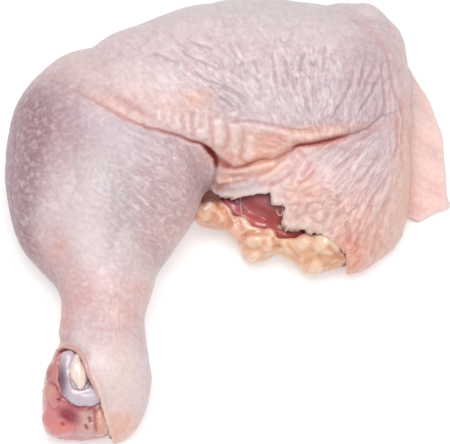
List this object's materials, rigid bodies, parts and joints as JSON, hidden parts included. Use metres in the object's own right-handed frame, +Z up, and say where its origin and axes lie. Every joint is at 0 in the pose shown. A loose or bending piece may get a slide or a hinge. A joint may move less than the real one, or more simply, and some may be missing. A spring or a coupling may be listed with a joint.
{
  "type": "raw chicken leg",
  "caption": "Raw bent chicken leg with its skin on, thigh and drumstick together, torn open over dark meat and fat at the thigh's near edge and cut through the ankle joint.",
  "frame": {"origin": "centre of the bounding box in X and Y, on the surface that the leg lies on", "axes": "+X from the drumstick to the hip end, +Y from the ankle to the back of the thigh, +Z up"},
  "size_m": [0.1372, 0.1438, 0.0485],
  "materials": {
    "skin": "moist pale pink skin with fine wrinkles and feather bumps, mauve over the drumstick",
    "meat": "wet dark red raw meat",
    "fat": "soft glossy yellow fat",
    "cartilage": "smooth wet lavender-white cartilage",
    "tendon": "satin cream tendon",
    "joint_tissue": "wet pink-red soft tissue"
  },
  "bodies": {
    "root": {"skin": "skin", "meat": "meat", "fat": "fat", "shin_bone": "cartilage", "tendon": "tendon", "joint_tissue": "joint_tissue"}
  },
  "joints": []
}
